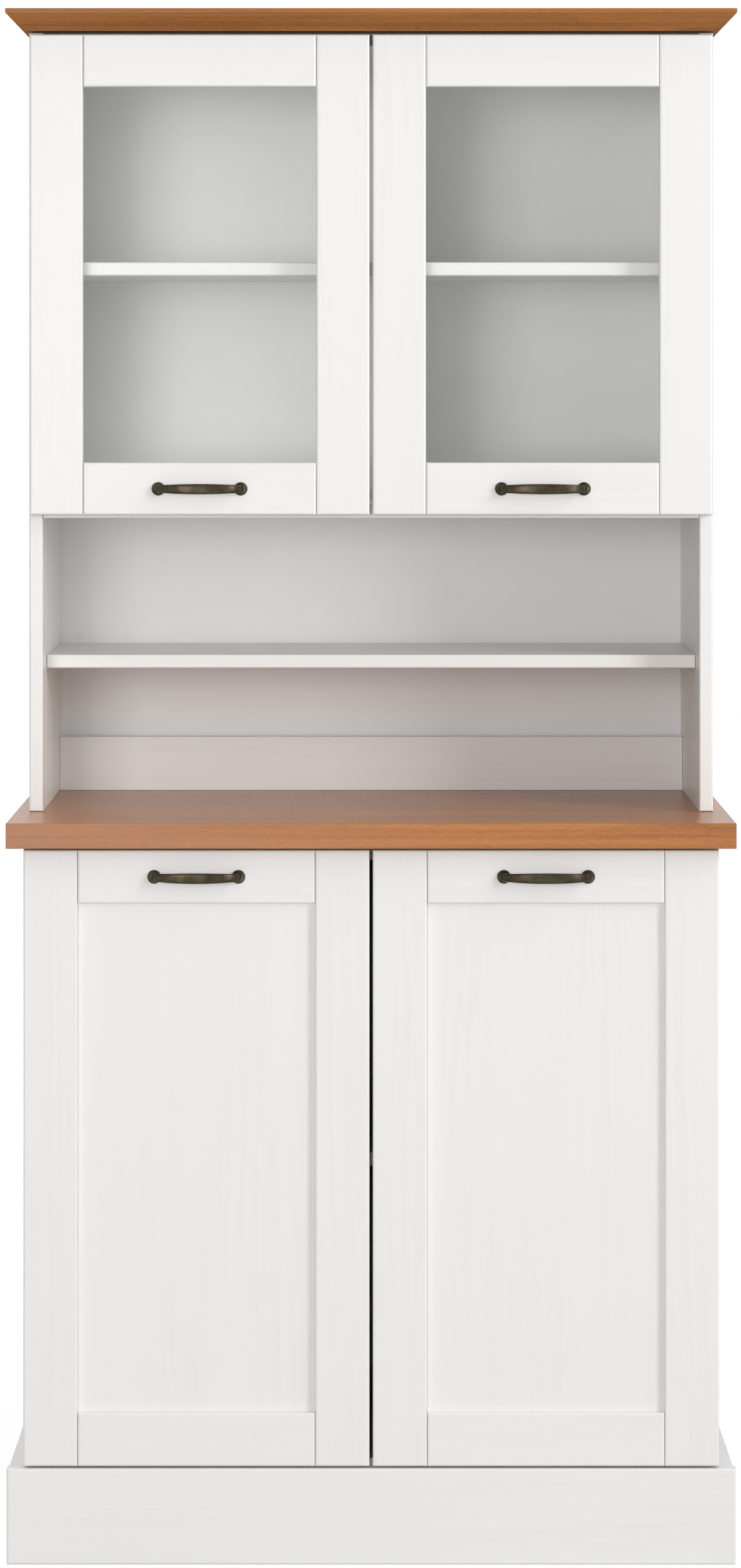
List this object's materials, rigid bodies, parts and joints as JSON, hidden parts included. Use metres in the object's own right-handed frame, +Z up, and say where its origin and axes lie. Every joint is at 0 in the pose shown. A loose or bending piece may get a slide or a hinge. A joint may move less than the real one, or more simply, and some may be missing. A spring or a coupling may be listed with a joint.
{
  "type": "kitchen buffet",
  "caption": "Tall white kitchen buffet: panelled base doors and a wooden worktop, with a hutch that has an open niche, glazed doors and a wooden crown.",
  "frame": {"origin": "on the floor, below the middle of the whole buffet's outline", "axes": "+Z up, -Y out of the front, where the doors are, +X to the right of someone who looks at the front"},
  "size_m": [0.85, 0.5258, 1.786],
  "materials": {
    "white_foil": "chipboard with white melamine foil, satin, faint wood grain",
    "wood_decor": "chipboard with warm brown walnut-like decor, satin",
    "back_foil": "thin fibreboard with white lacquer, satin",
    "clear_glass": "clear",
    "aged_bronze": "aged bronze plating, worn lighter in spots",
    "hinge_steel": "nickel-plated"
  },
  "bodies": {
    "cabinet": {"plinth_front": "white_foil", "plinth_side_left": "white_foil", "plinth_side_right": "white_foil", "base_side_left": "white_foil", "base_side_right": "white_foil", "base_floor": "white_foil", "base_shelf": "white_foil", "base_rail_front": "white_foil", "base_rail_rear": "white_foil", "base_back": "back_foil", "worktop": "wood_decor", "hutch_side_left": "white_foil", "hutch_side_right": "white_foil", "hutch_top": "white_foil", "hutch_floor": "white_foil", "glazed_shelf": "white_foil", "niche_shelf": "white_foil", "splash_board": "white_foil", "hutch_back": "back_foil", "crown": "wood_decor", "glazed_left_hinge_arm_lower": "hinge_steel", "glazed_left_hinge_arm_upper": "hinge_steel", "glazed_right_hinge_arm_lower": "hinge_steel", "glazed_right_hinge_arm_upper": "hinge_steel", "base_left_hinge_arm_lower": "hinge_steel", "base_left_hinge_arm_upper": "hinge_steel", "base_right_hinge_arm_lower": "hinge_steel", "base_right_hinge_arm_upper": "hinge_steel"},
    "glazed_door_left": {"glazed_left_hinge_stile": "white_foil", "glazed_left_free_stile": "white_foil", "glazed_left_top_rail": "white_foil", "glazed_left_bottom_rail": "white_foil", "glazed_left_glass": "clear_glass", "glazed_left_handle": "aged_bronze", "glazed_left_hinge_cup_lower": "hinge_steel", "glazed_left_hinge_cup_upper": "hinge_steel"},
    "glazed_door_right": {"glazed_right_hinge_stile": "white_foil", "glazed_right_free_stile": "white_foil", "glazed_right_top_rail": "white_foil", "glazed_right_bottom_rail": "white_foil", "glazed_right_glass": "clear_glass", "glazed_right_handle": "aged_bronze", "glazed_right_hinge_cup_lower": "hinge_steel", "glazed_right_hinge_cup_upper": "hinge_steel"},
    "base_door_left": {"base_left_hinge_stile": "white_foil", "base_left_free_stile": "white_foil", "base_left_top_rail": "white_foil", "base_left_bottom_rail": "white_foil", "base_left_panel": "white_foil", "base_left_handle": "aged_bronze", "base_left_hinge_cup_lower": "hinge_steel", "base_left_hinge_cup_upper": "hinge_steel"},
    "base_door_right": {"base_right_hinge_stile": "white_foil", "base_right_free_stile": "white_foil", "base_right_top_rail": "white_foil", "base_right_bottom_rail": "white_foil", "base_right_panel": "white_foil", "base_right_handle": "aged_bronze", "base_right_hinge_cup_lower": "hinge_steel", "base_right_hinge_cup_upper": "hinge_steel"}
  },
  "joints": [
    {"name": "glazed_left_hinge", "type": "hinge", "parent": "cabinet", "child": "glazed_door_left", "pos_m": [-0.3935, -0.1081, 1.477], "axis": [0, 0, -1], "range_deg": [0, 110]},
    {"name": "glazed_right_hinge", "type": "hinge", "parent": "cabinet", "child": "glazed_door_right", "pos_m": [0.3935, -0.1081, 1.477], "axis": [0, 0, 1], "range_deg": [0, 110]},
    {"name": "base_left_hinge", "type": "hinge", "parent": "cabinet", "child": "base_door_left", "pos_m": [-0.3928, -0.2266, 0.4646], "axis": [0, 0, -1], "range_deg": [0, 110]},
    {"name": "base_right_hinge", "type": "hinge", "parent": "cabinet", "child": "base_door_right", "pos_m": [0.3928, -0.2266, 0.4646], "axis": [0, 0, 1], "range_deg": [0, 110]}
  ]
}
